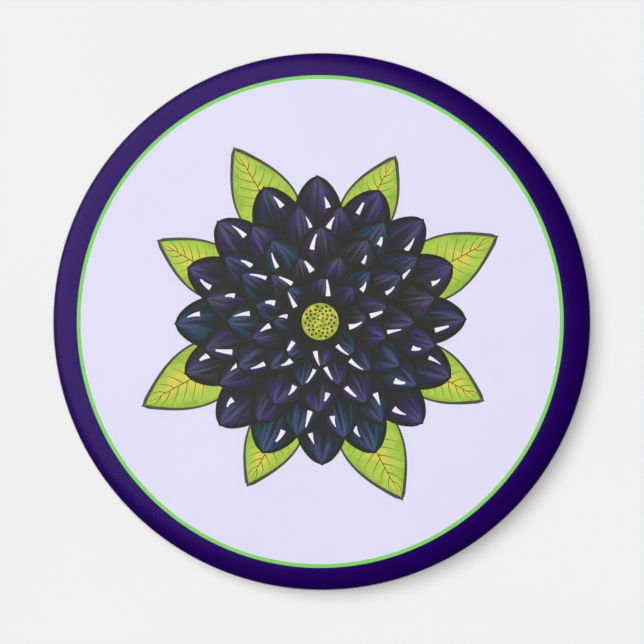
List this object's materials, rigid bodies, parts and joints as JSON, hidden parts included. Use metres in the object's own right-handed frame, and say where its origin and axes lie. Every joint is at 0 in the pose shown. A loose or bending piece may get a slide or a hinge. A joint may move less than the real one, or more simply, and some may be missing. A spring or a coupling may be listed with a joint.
{
  "type": "round fridge magnet",
  "caption": "Round button-style fridge magnet: printed face under clear film on a domed steel shell, with a stamped back plate and a ferrite disc magnet.",
  "frame": {"origin": "centre of the disc magnet's flat holding face, the lowest point of the object", "axes": "+Z out of the printed face, +Y up on the printed face, +X to the viewer's right"},
  "size_m": [0.0572, 0.0572, 0.0056],
  "materials": {
    "clear_film": "gloss",
    "printed_paper": "satin",
    "shell_tinplate": "satin",
    "back_tinplate": "satin",
    "adhesive_foam": "matte",
    "ferrite": "matte"
  },
  "bodies": {
    "root": {"clear_film": "clear_film", "printed_sheet": "printed_paper", "front_shell": "shell_tinplate", "back_plate": "back_tinplate", "adhesive_pad": "adhesive_foam", "disc_magnet": "ferrite"}
  },
  "joints": []
}
